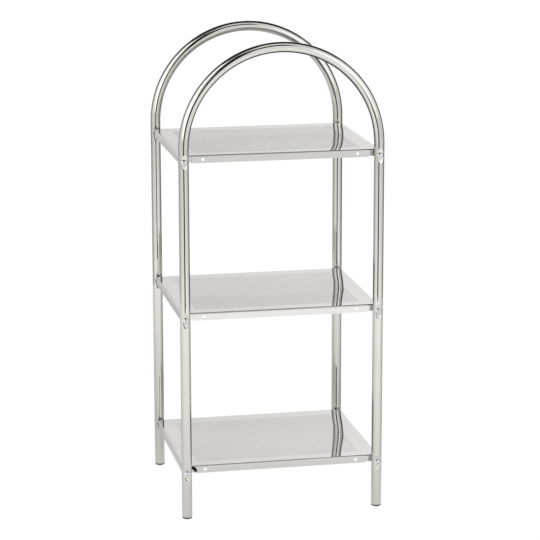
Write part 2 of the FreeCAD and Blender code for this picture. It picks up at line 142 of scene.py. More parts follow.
class Builder:
    """Collects points and faces in millimetres; a face may have a normal for each of its corners."""

    def __init__(self):
        self.points = []
        self.faces = []
        self.normals = []

    def point(self, p):
        """Adds a point and gives its number."""
        self.points.append(tuple(p))
        return len(self.points) - 1

    def face(self, corners, normals=None):
        """Adds a face; corners are point numbers. With no normals it is shaded flat."""
        self.faces.append(corners)
        self.normals.append(normals)

    def loft(self, rings):
        """A closed form through rings of points, all of the same length, with a face over each end."""
        numbers = [[self.point(p) for p in ring] for ring in rings]
        count = len(rings[0])
        for low, high in zip(numbers, numbers[1:]):
            for c in range(count):
                d = (c + 1) % count
                self.face([low[c], low[d], high[d], high[c]])
        self.face(numbers[0][::-1])
        self.face(numbers[-1])

    def corner_normals(self):
        """The normals of all corners, face by face."""
        listed = []
        for face, normals in zip(self.faces, self.normals):
            if normals is None:
                flat = facing([Vector(self.points[number]) for number in face]).normalized()
                normals = [tuple(flat)] * len(face)
            listed += normals
        return listed

    def mesh(self, name, material, smooth_angle=None):
        """A smooth mesh with the stated normals, or sharp where faces meet at more than an angle."""
        mesh = bpy.data.meshes.new(name)
        mesh.from_pydata([(x * MM, y * MM, z * MM) for x, y, z in self.points], [], self.faces)
        mesh.polygons.foreach_set("use_smooth", [True] * len(mesh.polygons))
        if smooth_angle is None:
            mesh.normals_split_custom_set(self.corner_normals())
        else:
            mesh.set_sharp_from_angle(angle=math.radians(smooth_angle))
        mesh.materials.append(material)
        return mesh

    def object(self, name, material, node, smooth_angle):
        """A piece of the shelf that stands for one of the solids."""
        placed(name, self.mesh(name, material, smooth_angle), node)


def placed(name, mesh, node, height=0.0):
    """An object that stands for one of the solids, lifted to a height in millimetres."""
    piece = bpy.data.objects.new(name, mesh)
    piece.location.z = height * MM
    bpy.context.scene.collection.objects.link(piece)
    bpy.context.view_layer.update()
    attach(piece, "root")
    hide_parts(node)


def solidified(points, normals, faces, thickness):
    """A closed sheet from its outer skin: the skin, its inner copy and a rim along every open edge."""
    sheet = Builder()
    outer = [sheet.point(p) for p in points]
    inner = [sheet.point([c - thickness * n for c, n in zip(p, normal)])
             for p, normal in zip(points, normals)]
    edges = set()
    for face in faces:
        sheet.face([outer[v] for v in face], [normals[v] for v in face])
        back = face[::-1]
        sheet.face([inner[v] for v in back], [tuple(-c for c in normals[v]) for v in back])
        edges.update(zip(face, face[1:] + face[:1]))
    for a, b in edges:
        if (b, a) not in edges:
            sheet.face([outer[b], outer[a], inner[a], inner[b]])
    return sheet


# Materials
EDGE_TINT = (0.8, 0.8, 0.8, 1.0)
WAVE_HEIGHT = 0.0004
GRAIN_HEIGHT = 0.0001


def new_material(name):
    """A new material with its nodes, its links and its main shader."""
    material = bpy.data.materials.new(name)
    material.use_nodes = True
    nodes = material.node_tree.nodes
    return material, nodes, material.node_tree.links, nodes["Principled BSDF"]


def noise(nodes, links, scale, detail, rough=0.55):
    """Noise in the object's own coordinates."""
    place = nodes.new("ShaderNodeTexCoord")
    texture = nodes.new("ShaderNodeTexNoise")
    texture.inputs["Scale"].default_value = scale
    texture.inputs["Detail"].default_value = detail
    texture.inputs["Roughness"].default_value = rough
    links.new(place.outputs["Object"], texture.inputs["Vector"])
    return texture.outputs["Fac"]


def ramp(nodes, links, value, stops):
    """A ramp of grey or coloured stops; each is (place, grey) or (place, colour)."""
    node = nodes.new("ShaderNodeValToRGB")
    while len(node.color_ramp.elements) < len(stops):
        node.color_ramp.elements.new(0.5)
    for element, (place, colour) in zip(node.color_ramp.elements, stops):
        element.position = place
        if isinstance(colour, (int, float)):
            colour = (colour, colour, colour)
        element.color = (*colour, 1)
    links.new(value, node.inputs["Fac"])
    return node.outputs["Color"]


def bump(nodes, links, value, strength, height, shader):
    """Unevenness of a height in metres."""
    node = nodes.new("ShaderNodeBump")
    node.inputs["Strength"].default_value = strength
    node.inputs["Distance"].default_value = height
    links.new(value, node.inputs["Height"])
    links.new(node.outputs["Normal"], shader.inputs["Normal"])


def chrome(name, light, dark, rough, wave):
    """Plated steel: soft smudges in the colour, a patchy gloss and a faint unevenness."""
    material, nodes, links, shader = new_material(name)
    shader.inputs["Metallic"].default_value = 1.0
    shader.inputs["Specular Tint"].default_value = EDGE_TINT
    smudges = noise(nodes, links, scale=9.0, detail=5.0)
    links.new(ramp(nodes, links, smudges, [(0.35, dark), (0.65, light)]), shader.inputs["Base Color"])
    patches = noise(nodes, links, scale=45.0, detail=6.0, rough=0.6)
    links.new(ramp(nodes, links, patches, [(0.3, rough[0]), (0.75, rough[1])]), shader.inputs["Roughness"])
    waves = noise(nodes, links, scale=30.0, detail=2.0)
    bump(nodes, links, waves, wave, WAVE_HEIGHT, shader)
    return material


def moulded(name, light, dark, rough, grain, gloss):
    """Moulded plastic or rubber with a fine grain and dusty patches."""
    material, nodes, links, shader = new_material(name)
    shader.inputs["Specular IOR Level"].default_value = gloss
    patches = noise(nodes, links, scale=120.0, detail=4.0)
    links.new(ramp(nodes, links, patches, [(0.35, dark), (0.7, light)]), shader.inputs["Base Color"])
    links.new(ramp(nodes, links, patches, [(0.3, rough[0]), (0.7, rough[1])]), shader.inputs["Roughness"])
    grains = noise(nodes, links, scale=2200.0, detail=2.0)
    bump(nodes, links, grains, grain, GRAIN_HEIGHT, shader)
    return material


tube_chrome = chrome("tube_chrome", light=(0.575, 0.567, 0.535), dark=(0.545, 0.537, 0.505),
                     rough=(0.0, 0.03), wave=0.01)
shelf_chrome = chrome("shelf_chrome", light=(0.57, 0.566, 0.558), dark=(0.545, 0.541, 0.533),
                      rough=(0.0, 0.05), wave=0.01)
screw_chrome = chrome("screw_chrome", light=(0.68, 0.685, 0.70), dark=(0.62, 0.625, 0.64),
                      rough=(0.0, 0.05), wave=0.02)
zinc_steel = chrome("zinc_steel", light=(0.55, 0.54, 0.50), dark=(0.42, 0.41, 0.38),
                    rough=(0.28, 0.42), wave=0.25)
black_plastic = moulded("black_plastic", light=(0.035, 0.034, 0.033), dark=(0.018, 0.018, 0.018),
                        rough=(0.35, 0.55), grain=0.15, gloss=0.5)
cap_plastic = moulded("cap_plastic", light=(0.05, 0.049, 0.046), dark=(0.03, 0.029, 0.028),
                      rough=(0.35, 0.55), grain=0.15, gloss=0.3)
black_rubber = moulded("black_rubber", light=(0.014, 0.014, 0.013), dark=(0.006, 0.006, 0.006),
                       rough=(0.5, 0.75), grain=0.25, gloss=0.1)


# Arches
SCREW_ZS = [SHELF_TOPS[tier] - SCREW_DROP for tier in TIERS]
RING_SIDES = 120
BEND_STEPS = 140
DIMPLE_REACH = 18.0
DIMPLE_SOFTNESS = 0.5
FINE_STEP = 0.5
FINE_REACH = DIMPLE_REACH + 2.0
COARSE_STEP = 5.0
LIP_H = 1.0
BORE_SHOWN = 12.0
# The rounded lower end of a tube, from the bore to the outside: (inset from the outside, rise)
TUBE_LIP = [(TUBE_WALL, BORE_SHOWN), (TUBE_WALL, 0.35), (TUBE_WALL - 0.15, 0.1), (TUBE_WALL - 0.45, 0.0),
            (0.45, 0.05), (0.2, 0.2), (0.05, 0.5)]
TUBE_SHARP_ANGLE = 50


def dimple_floor(depth, bar_radius, rise):
    """The distance from a leg's axis to the floor of a dimple, so far above or below the screw."""
    return TUBE_R - depth + bar_radius - math.sqrt(bar_radius ** 2 - rise ** 2)


def dimpled(out, z):
    """How far outwards a point of a leg lies from its axis once the dimples are pressed in."""
    for screw_z in SCREW_ZS:
        if abs(z - screw_z) < DIMPLE_REACH:
            if out > 0:
                floor = dimple_floor(DIMPLE_DEPTH, DIMPLE_R, z - screw_z)
            else:
                floor = dimple_floor(INNER_DIMPLE_DEPTH, INNER_DIMPLE_R, z - screw_z)
            out = math.copysign(smooth_least(abs(out), floor, DIMPLE_SOFTNESS), out)
    return out


def leg_heights():
    """Heights of the rings up a leg, close together at the dimples."""
    heights = [CAP_H + LIP_H]
    while heights[-1] < SPRING_Z:
        near = min(abs(heights[-1] - z) for z in SCREW_ZS)
        heights.append(heights[-1] + (FINE_STEP if near < FINE_REACH else COARSE_STEP))
    heights[-1] = SPRING_Z
    return heights


def leg_ring(side, depth, z, radius, pressed):
    """A ring of points round a leg; a pressed ring has the dimples in it."""
    ring = []
    for x, y in circle(radius, RING_SIDES):
        if pressed:
            y = depth * dimpled(depth * y, z)
        ring.append((side * (LEG_X + x), depth * ARCH_Y + y, z))
    return ring


def leg_rings(side, depth):
    """The rings of a leg, from its rounded lower end up to the bend."""
    lip = [leg_ring(side, depth, CAP_H + rise, TUBE_R - inset, pressed=False) for inset, rise in TUBE_LIP]
    return lip + [leg_ring(side, depth, z, TUBE_R, pressed=True) for z in leg_heights()]


def bend_ring(depth, angle):
    """A ring of points round the bend, at an angle from its right-hand end."""
    ring = []
    for x, y in circle(TUBE_R, RING_SIDES):
        reach = BEND_R + x
        ring.append((reach * math.cos(angle), depth * ARCH_Y + y, SPRING_Z + reach * math.sin(angle)))
    return ring


def arch(node, depth):
    """One bent tube, up the right leg, over and down the left leg; depth is -1 in front and 1 behind."""
    bend = [bend_ring(depth, math.pi * step / BEND_STEPS) for step in range(1, BEND_STEPS)]
    tube = Builder()
    tube.loft(leg_rings(1, depth) + bend + leg_rings(-1, depth)[::-1])
    tube.object(f"{node}_tube", tube_chrome, node, TUBE_SHARP_ANGLE)


# Shelves
FLAT_X = SHELF_X - EDGE_R
FLAT_Y = SHELF_Y - EDGE_R
DISH_SLOPE = 0.05
DISH_POWER = 4
DISH_FOLD = 150.0
DISH_EDGE = 8.0
DISH_FRONT = 150.0
DISH_REAR = 110.0
ROLL_STEPS = 10
CORNER_STEPS = 10
JIG_SIDES = 24
# Points that carry the dish through the plain margins round the field
MARGIN_STEPS = 60
MARGIN_X = 154.0
SIDE_INSETS = (2.0, 4.0, 6.0, 8.0, 14.0, 20.0)
END_INSETS = (3.0, 7.0, 12.0, 17.0)
# Sorting out the triangles that fill the holes
CELL = 6.0
INSIDE_SHARE = 0.97
WELD = 1e-6


def cell(x, y):
    """The square of a grid in which a point lies."""
    return int(x // CELL), int(y // CELL)


def pierced(outline, holes, extra=()):
    """A flat polygon with round holes, as points and triangles. Holes are (x, y, radius, sides)."""
    flat = [Vector(p) for p in (*outline, *extra)]
    edges = [(i, (i + 1) % len(outline)) for i in range(len(outline))]
    cells = {}
    for x, y, radius, sides in holes:
        first = len(flat)
        flat += [Vector((x + dx, y + dy)) for dx, dy in circle(radius, sides)]
        edges += [(first + i, first + (i + 1) % sides) for i in range(sides)]
        cells.setdefault(cell(x, y), []).append((x, y, INSIDE_SHARE * radius))
    points, _, triangles, _, _, _ = delaunay_2d_cdt(flat, edges, [], 0, WELD, False)
    kept = []
    for triangle in triangles:
        cx = sum(points[v][0] for v in triangle) / 3
        cy = sum(points[v][1] for v in triangle) / 3
        column, row = cell(cx, cy)
        near = [hole for i in (-1, 0, 1) for j in (-1, 0, 1) for hole in cells.get((column + i, row + j), ())]
        if all((cx - x) ** 2 + (cy - y) ** 2 > inside ** 2 for x, y, inside in near):
            kept.append(list(triangle))
    return points, kept


class Skin:
    """The outer skin of a shelf, with the true normal at every point."""

    def __init__(self):
        self.points = []
        self.normals = []
        self.faces = []
        self.index = {}

    def point(self, p, n):
        """The number of a point; points within a thousandth of a millimetre are one."""
        key = tuple(round(c, 3) for c in p)
        if key not in self.index:
            self.index[key] = len(self.points)
            self.points.append(tuple(p))
            self.normals.append(tuple(n))
        return self.index[key]

    def face(self, corners):
        """Adds a face from (point, normal) pairs, turned to face along its normals."""
        numbers = []
        for p, n in corners:
            number = self.point(p, n)
            if number not in numbers:
                numbers.append(number)
        if len(numbers) < 3:
            return
        mean = sum((Vector(self.normals[v]) for v in numbers), Vector((0, 0, 0)))
        if facing([Vector(self.points[v]) for v in numbers]).dot(mean) < 0:
            numbers.reverse()
        self.faces.append(numbers)


def dish_run(x):
    """How far the plate rises from its middle line out to x, and how steeply it rises there."""
    x = abs(x)
    share = min(x, DISH_FOLD) / DISH_FOLD
    rise = DISH_SLOPE * DISH_FOLD / (DISH_POWER + 1) * share ** (DISH_POWER + 1)
    slope = DISH_SLOPE * share ** DISH_POWER
    if x > DISH_FOLD:
        rise += DISH_SLOPE * (x - DISH_FOLD)
    level = FLAT_X - DISH_EDGE
    if x > level:
        share = (x - level) / DISH_EDGE
        rise -= 0.5 * DISH_SLOPE * DISH_EDGE * share ** 2
        slope *= 1 - share
    return rise, slope


DISH_DEPTH = dish_run(FLAT_X)[0]


def dished(x, y):
    """A point and normal of the plate, which sags a little between its stiff edges."""
    rise, slope = dish_run(x)
    blend = DISH_REAR if y > 0 else DISH_FRONT
    away = (FLAT_Y - abs(y)) / blend
    share = soft_step(0.0, 1.0, away)
    # How steeply the soft step changes
    tilt = 6 * away * (1 - away) / blend if away < 1 else 0.0
    drop = DISH_DEPTH - rise
    slope_x = math.copysign(slope, x) * share
    slope_y = math.copysign(drop * tilt, y)
    normal = Vector((-slope_x, -slope_y, 1.0)).normalized()
    return (x, y, -drop * share), tuple(normal)


def roll_point(base, out, theta):
    """A point and normal on the rolled edge, theta from 0 at the top to a quarter turn at the flange."""
    s, c = math.sin(theta), math.cos(theta)
    p = (base[0] + EDGE_R * s * out[0], base[1] + EDGE_R * s * out[1], -EDGE_R * (1 - c))
    return p, (s * out[0], s * out[1], c)


def add_plate(skin):
    """The perforated plate up to the start of the rolled edges."""
    outline = [(-FLAT_X, -FLAT_Y), (-FLANGE_END, -FLAT_Y), (FLANGE_END, -FLAT_Y), (FLAT_X, -FLAT_Y),
               (FLAT_X, FLAT_Y), (FLANGE_END, FLAT_Y), (-FLANGE_END, FLAT_Y), (-FLAT_X, FLAT_Y)]
    along = [2 * step / MARGIN_STEPS - 1 for step in range(1, MARGIN_STEPS)]
    margin = [(side * (FLAT_X - inset), FLAT_Y * share)
              for share in along for side in SIDES for inset in SIDE_INSETS]
    margin += [(MARGIN_X * share, end * (FLAT_Y - inset))
               for share in along for end in SIDES for inset in END_INSETS]
    holes = []
    for column in range(COLUMNS):
        x = (column - (COLUMNS - 1) / 2) * COLUMN_STEP
        for row in range(ROWS):
            holes.append((x, FIELD_FRONT + HOLE_PITCH * (row + 0.5 * (column % 2)), HOLE_R, HOLE_SIDES))
    points, triangles = pierced(outline, holes, margin)
    for triangle in triangles:
        skin.face([dished(points[v][0], points[v][1]) for v in triangle])


def add_roll(skin, path):
    """A rolled strip along a path of (base, out) pairs."""
    thetas = quarter_turn(ROLL_STEPS)
    for t0, t1 in zip(thetas, thetas[1:]):
        for start, finish in zip(path, path[1:]):
            skin.face([roll_point(*start, t0), roll_point(*finish, t0),
                       roll_point(*finish, t1), roll_point(*start, t1)])


def add_rolled_edges(skin):
    """The rolled edges on all four sides and the rounded corners between them."""
    for end in SIDES:
        out = (0, end)
        for x0, x1 in ((-FLAT_X, -FLANGE_END), (-FLANGE_END, FLANGE_END), (FLANGE_END, FLAT_X)):
            add_roll(skin, [((x0, end * FLAT_Y), out), ((x1, end * FLAT_Y), out)])
        out = (end, 0)
        add_roll(skin, [((end * FLAT_X, -FLAT_Y), out), ((end * FLAT_X, FLAT_Y), out)])
    for sx in SIDES:
        for sy in SIDES:
            corner = (sx * FLAT_X, sy * FLAT_Y)
            outs = [(sx * math.cos(turn), sy * math.sin(turn)) for turn in quarter_turn(CORNER_STEPS)]
            add_roll(skin, [(corner, out) for out in outs])


def add_flanges(skin):
    """The four flanges; those in front and behind have two round holes each."""
    outline = [(-FLANGE_END, -FLANGE_H), (FLANGE_END, -FLANGE_H),
               (FLANGE_END, -EDGE_R), (-FLANGE_END, -EDGE_R)]
    holes = [(side * JIG_X, -JIG_DROP, JIG_R, JIG_SIDES) for side in SIDES]
    for end in SIDES:
        points, triangles = pierced(outline, holes)
        for triangle in triangles:
            skin.face([((points[v][0], end * SHELF_Y, points[v][1]), (0, end, 0)) for v in triangle])
        skin.face([((end * SHELF_X, y, z), (end, 0, 0)) for y, z in
                   ((-FLAT_Y, -EDGE_R), (FLAT_Y, -EDGE_R), (FLAT_Y, -FLANGE_H), (-FLAT_Y, -FLANGE_H))])


def shelf_skin():
    """The whole outer skin of a shelf whose top is at height zero."""
    skin = Skin()
    add_plate(skin)
    add_rolled_edges(skin)
    add_flanges(skin)
    return skin


def add_tab(sheet, sx, sy):
    """A corner tab: the side flange's end, folded in behind the front or rear flange."""
    arc = quarter_turn(CORNER_STEPS)
    back = EDGE_R - SHEET
    outer = [(FLAT_X + EDGE_R * math.cos(a), FLAT_Y + back * math.sin(a)) for a in arc]
    inner = [(FLAT_X + back * math.cos(a), FLAT_Y + (back - SHEET) * math.sin(a)) for a in arc]
    outer.append((FLANGE_END - TAB_OVERLAP, FLAT_Y + back))
    inner.append((FLANGE_END - TAB_OVERLAP, FLAT_Y + back - SHEET))
    high = -EDGE_R + SHEET
    low = -FLANGE_H + TAB_RISE
    rings = []
    for (ox, oy), (ix, iy) in zip(outer, inner):
        ring = [(ox, oy, high), (ox, oy, low), (ix, iy, low), (ix, iy, high)]
        rings.append([(sx * x, sy * y, z) for x, y, z in ring])
    if sx * sy > 0:
        rings = [ring[::-1] for ring in rings]
    sheet.loft(rings)


def shelf_sheet():
    """The folded sheet of a shelf, with a tab behind each corner."""
    skin = shelf_skin()
    sheet = solidified(skin.points, skin.normals, skin.faces, SHEET)
    for sx in SIDES:
        for sy in SIDES:
            add_tab(sheet, sx, sy)
    return sheet


def place_shelf(tier, mesh):
    """One of the three shelves, which share a mesh."""
    placed(f"{tier}_shelf_sheet", mesh, f"{tier}_shelf", SHELF_TOPS[tier])


# Screws
HEAD_SEAT = dimple_floor(DIMPLE_DEPTH, DIMPLE_R, HEAD_R)
TAB_REACH = ARCH_Y - (SHELF_Y - SHEET)
SCREW_TIP = TAB_REACH + SHEET + NUT_H + SCREW_OVERRUN
SCREW_SIDES = 96
TIP_R = 1.6
TIP_BEVEL = 0.45
TIP_BEVEL_H = 0.3
THREAD_PITCH = 0.8
THREAD_DEPTH = 0.4
THREAD_STEPS = 5
THREAD_START = 0.5
THREAD_OVERRUN = 2.0
THREAD_RUNOUT = 0.3
HEAD_STEPS = 120
HEAD_BLEND = 0.4
HEAD_BEVEL = 0.15
HEAD_BEVEL_H = 0.1
HEAD_LEDGE = 0.06
RECESS_DEPTH = 2.0
# Distances from the middle between which the cross recess runs out, along its arms and across them
RECESS_ENDS = (1.6, 2.9)
RECESS_SIDES = (0.4, 0.9)
# How far the crosses are turned, in radians
FIRST_TURN = 0.6
TURN_BY_LEG = 0.55
TURN_BY_TIER = 0.4
SCREW_SHARP_ANGLE = 40


def recess(u, v):
    """Depth of the cross recess at a point of the head."""
    depth = 0.0
    for along, across in ((u, v), (v, u)):
        reach = 1.0 - soft_step(*RECESS_ENDS, abs(along))
        width = 1.0 - soft_step(*RECESS_SIDES, abs(across))
        depth = max(depth, RECESS_DEPTH * reach * width)
    return depth


def head_height(radius):
    """Height of the head over its seat: a sloped side under a domed top."""
    side = HEAD_H * (HEAD_R - radius) / (HEAD_R - HEAD_TOP_R)
    dome = HEAD_H - HEAD_CROWN + math.sqrt(HEAD_CROWN ** 2 - radius ** 2)
    return smooth_least(side, dome, HEAD_BLEND)


def thread_groove(height, angle):
    """Depth of the thread's groove at a height and an angle round the shank."""
    phase = (height / THREAD_PITCH + angle / (2 * math.pi)) % 1.0
    return THREAD_DEPTH * abs(2 * phase - 1)


def add_screw(builder, place, outward, turn):
    """One screw, with its head outwards; turn is how far its cross is turned."""
    angles = [2 * math.pi * i / SCREW_SIDES for i in range(SCREW_SIDES)]
    c, s = math.cos(turn), math.sin(turn)

    def ring(radius, height, cut=False, thread=False):
        """A ring of points round the screw, with the cross recess or the thread in it if asked for."""
        row = []
        for angle in angles:
            u, v = radius * math.cos(angle), radius * math.sin(angle)
            h = height - (recess(u, v) if cut else 0.0)
            if thread:
                left = 1 - thread_groove(height, angle) / radius
                u, v = u * left, v * left
            row.append((place[0] + c * u - s * v, place[1] + outward * h, place[2] + s * u + c * v))
        return row if outward < 0 else row[::-1]

    rings = [ring(TIP_R, -SCREW_TIP), ring(SHANK_R - TIP_BEVEL, -SCREW_TIP + TIP_BEVEL_H)]
    height = -SCREW_TIP + THREAD_START
    thread_end = -TAB_REACH + THREAD_OVERRUN
    while height < thread_end:
        rings.append(ring(SHANK_R, height, thread=True))
        height += THREAD_PITCH / THREAD_STEPS
    rings += [ring(SHANK_R, thread_end + THREAD_RUNOUT), ring(SHANK_R, HEAD_SEAT),
              ring(HEAD_R - HEAD_BEVEL, HEAD_SEAT), ring(HEAD_R, HEAD_SEAT + HEAD_BEVEL_H)]
    for step in range(HEAD_STEPS):
        radius = (HEAD_R - HEAD_LEDGE) * (1 - step / HEAD_STEPS)
        rings.append(ring(radius, HEAD_SEAT + head_height(radius), cut=True))
    builder.loft(rings)


def screws(tier):
    """The four screws of a shelf, each with its cross turned another way."""
    builder = Builder()
    for number, (sx, sy) in enumerate((a, b) for b in SIDES for a in SIDES):
        place = (sx * LEG_X, sy * ARCH_Y, SHELF_TOPS[tier] - SCREW_DROP)
        turn = FIRST_TURN + TURN_BY_LEG * number + TURN_BY_TIER * TIERS.index(tier)
        add_screw(builder, place, sy, turn)
    node = f"{tier}_shelf_screws"
    builder.object(f"{node}_piece", screw_chrome, node, SCREW_SHARP_ANGLE)


# Foot caps
CAP_SIDES = 72
CAP_ROUND_STEPS = 9
CAP_HUB_R = 0.4
CAP_FACE_R = 4.8
CAP_GROOVE_R = 5.4
CAP_GROOVE_H = 0.05
CAP_BEVEL = 0.3
PLUG_PLAY = 0.1
PLUG_L = 14.0
PLUG_WALL = 1.6
PLUG_BEVEL = 0.6
PLUG_BEVEL_H = 0.8
CAP_SHARP_ANGLE = 35


def cap_profile():
    """The outline of a foot cap from the middle of its underside round to the floor of its hollow."""
    bore = TUBE_R - TUBE_WALL - PLUG_PLAY
    profile = [(CAP_HUB_R, 0.0), (CAP_FACE_R, 0.0), (CAP_GROOVE_R, CAP_GROOVE_H),
               (TUBE_R - CAP_EDGE_R, 0.0)]
    for a in quarter_turn(CAP_ROUND_STEPS)[1:]:
        profile.append((TUBE_R - CAP_EDGE_R * (1 - math.sin(a)), CAP_EDGE_R * (1 - math.cos(a))))
    profile += [(TUBE_R, CAP_H - CAP_BEVEL), (TUBE_R - CAP_BEVEL, CAP_H), (bore, CAP_H),
                (bore, CAP_H + PLUG_L - PLUG_BEVEL_H), (bore - PLUG_BEVEL, CAP_H + PLUG_L),
                (bore - PLUG_WALL, CAP_H + PLUG_L), (bore - PLUG_WALL, CAP_H), (CAP_HUB_R, CAP_H)]
    return profile


def foot_cap(node, sx, sy):
    """A hollow plug with a rounded lip."""
    builder = Builder()
    builder.loft([[(sx * LEG_X + x, sy * ARCH_Y + y, z) for x, y in circle(radius, CAP_SIDES)]
                  for radius, z in cap_profile()])
    builder.object(f"{node}_piece", cap_plastic, node, CAP_SHARP_ANGLE)


# Bumper
BUMPER_EDGE_R = 0.6
BUMPER_EDGE_STEPS = 4
BUMPER_STEPS = 36
BUMPER_END_SHARE = 0.8
BUMPER_SHARP_ANGLE = 40


def bumper_section():
    """The strip's section with rounded edges, as (across, deep)."""
    section = []
    for sx, sy, quarter in ((1, 1, 0), (-1, 1, 1), (-1, -1, 2), (1, -1, 3)):
        for k in range(BUMPER_EDGE_STEPS + 1):
            a = 0.5 * math.pi * (quarter + k / BUMPER_EDGE_STEPS)
            section.append((sx * (BUMPER_W / 2 - BUMPER_EDGE_R) + BUMPER_EDGE_R * math.cos(a),
                            sy * (BUMPER_T / 2 - BUMPER_EDGE_R) + BUMPER_EDGE_R * math.sin(a)))
    return section


def rubber_bumper():
    """A bent strip with rounded edges, flat on the flange."""
    centre_x = -SHELF_X + BUMPER_INSET
    centre_z = SHELF_TOPS["bottom"] - BUMPER_DROP
    middle = BUMPER_R - BUMPER_W / 2
    angles = [math.radians(BUMPER_SWEEP) * step / BUMPER_STEPS for step in range(BUMPER_STEPS + 1)]
    stops = [(angle, 1.0) for angle in angles]
    stops = [(angles[0], BUMPER_END_SHARE)] + stops + [(angles[-1], BUMPER_END_SHARE)]
    rings = []
    for angle, share in stops:
        ring = []
        for across, deep in bumper_section():
            radius = middle + across * share
            ring.append((centre_x + radius * math.cos(angle), -SHELF_Y - BUMPER_T / 2 + deep * share,
                         centre_z + radius * math.sin(angle)))
        rings.append(ring)
    builder = Builder()
    builder.loft(rings)
    builder.object("rubber_bumper_piece", black_rubber, "rubber_bumper", BUMPER_SHARP_ANGLE)


# The pieces, and the materials of the solids that show as they are
for node, depth in (("front_arch", -1), ("rear_arch", 1)):
    arch(node, depth)
shelf_mesh = shelf_sheet().mesh("shelf_sheet", shelf_chrome)
for tier in TIERS:
    place_shelf(tier, shelf_mesh)
    screws(tier)
for front, sy in (("front", -1), ("rear", 1)):
    for side, sx in (("left", -1), ("right", 1)):
        foot_cap(f"{front}_{side}_foot_cap", sx, sy)
rubber_bumper()

for ending, material in (("_nuts", zinc_steel), ("_spacers", black_plastic)):
    for tier in TIERS:
        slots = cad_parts[f"{tier}_shelf{ending}"].data.materials
        slots.clear()
        slots.append(material)


# Camera, solved from the legs, arches and shelf edges in the photograph; lengths from here on in metres
AIM = Vector((0.010876, 0.0, 0.425167))
DISTANCE = 4.262807
YAW = math.radians(-11.45)
PITCH = math.radians(12.91)
ROLL = -0.00187
FOCAL_PIXELS = 2246.5
FRAME_PIXELS = 540
SENSOR = 36.0
CLIP_END = 200.0

scene = bpy.context.scene
forward = Vector((-math.sin(YAW) * math.cos(PITCH), math.cos(YAW) * math.cos(PITCH), -math.sin(PITCH)))
right = Vector((math.cos(YAW), math.sin(YAW), 0.0))


def place_camera():
    """The photograph's camera."""
    above = right.cross(forward)
    tilted_right = math.cos(ROLL) * right + math.sin(ROLL) * above
    tilted_above = -math.sin(ROLL) * right + math.cos(ROLL) * above
    turn = Matrix((tilted_right, tilted_above, -forward)).transposed()
    data = bpy.data.cameras.new("camera")
    data.sensor_width = SENSOR
    data.lens = FOCAL_PIXELS * SENSOR / FRAME_PIXELS
    data.clip_end = CLIP_END
    camera = bpy.data.objects.new("camera", data)
    camera.matrix_world = Matrix.Translation(AIM - DISTANCE * forward) @ turn.to_4x4()
    scene.collection.objects.link(camera)
    scene.camera = camera


place_camera()
scene.view_settings.view_transform = "Standard"


# Nodes for the stage
def worked(nodes, links, kind, operation, *values):
    """A node that works out a value from links and numbers."""
    node = nodes.new(kind)
    node.operation = operation
    for socket, value in zip(node.inputs, values):
        if isinstance(value, bpy.types.NodeSocket):
            links.new(value, socket)
        else:
            socket.default_value = value
    return node


def spread(nodes, links, value, low, high, smooth=False):
    """A value turned into another one; low and high are (value before, value after)."""
    node = nodes.new("ShaderNodeMapRange")
    if smooth:
        node.interpolation_type = "SMOOTHSTEP"
    node.inputs["From Min"].default_value = low[0]
    node.inputs["From Max"].default_value = high[0]
    node.inputs["To Min"].default_value = low[1]
    node.inputs["To Max"].default_value = high[1]
    links.new(value, node.inputs["Value"])
    return node.outputs["Result"]


def coordinates(nodes, links, vector):
    """The X, Y and Z of a vector."""
    parts = nodes.new("ShaderNodeSeparateXYZ")
    links.new(vector, parts.inputs["Vector"])
    return parts.outputs


# Sky: tones by the height of the direction, and a lean from left to right behind the shelf
SKY_TONES = [(0.16, (0.97, 0.967, 0.957)), (0.225, (1.07, 1.065, 1.055)), (0.30, (1.08, 1.075, 1.065)),
             (0.4, (1.0, 0.995, 0.985)), (0.65, (0.75, 0.745, 0.725)), (1.0, (0.95, 0.945, 0.925))]
SKY_STRENGTH = 1.2
LEAN_LEFT = (-0.04, 0.95)
LEAN_RIGHT = (0.04, 1.06)


def light_sky():
    """The world: a pale sky round the object."""
    world = bpy.data.worlds.new("studio")
    world.use_nodes = True
    nodes = world.node_tree.nodes
    links = world.node_tree.links
    direction = nodes.new("ShaderNodeTexCoord").outputs["Generated"]
    sky = ramp(nodes, links, coordinates(nodes, links, direction)["Z"], SKY_TONES)
    sideways = worked(nodes, links, "ShaderNodeVectorMath", "DOT_PRODUCT", direction, right)
    lean = spread(nodes, links, sideways.outputs["Value"], LEAN_LEFT, LEAN_RIGHT)
    leaning = worked(nodes, links, "ShaderNodeVectorMath", "MULTIPLY", sky, lean)
    links.new(leaning.outputs["Vector"], nodes["Background"].inputs["Color"])
    nodes["Background"].inputs["Strength"].default_value = SKY_STRENGTH
    scene.world = world


# Glowing materials of the floor and the cards
FLOOR_GLOW = 1.02
WHITE = (1, 1, 1)
WARM_WHITE = (1, 0.995, 0.985)
BOX_WHITE = (1, 0.995, 0.98)
CARD_GREY = (1, 1, 0.98)
APRON_REACH = 4.5
APRON_GLOW = 1.5
# The apron's tones by azimuth, and its shares by the distance from the middle of the object, lower close to
# the object as painted shade
APRON_TONES = [(-168, 0.6), (-150, 0.74), (-120, 0.88), (-99, 0.92), (-69, 1.04), (-40, 1.2), (23, 1.3),
               (46, 1.25), (71, 1.05), (102, 0.78), (130, 0.45), (165, 0.45), (191, 0.6)]
APRON_FADE = [(0.0, 0.9), (0.45, 0.88), (0.9, 1.0), (1.65, 1.14), (2.5, 1.0), (3.9, 0.86)]
APRON_BLEND = [(0.22, 0.0), (0.5, 1.0)]
# Painted shade on the apron under the shelf, where the shelf's shadow falls on the floor: (distance, level)
UNDER_SHADE = [(0.0, 0.76), (0.12, 0.8), (0.3, 1.0)]


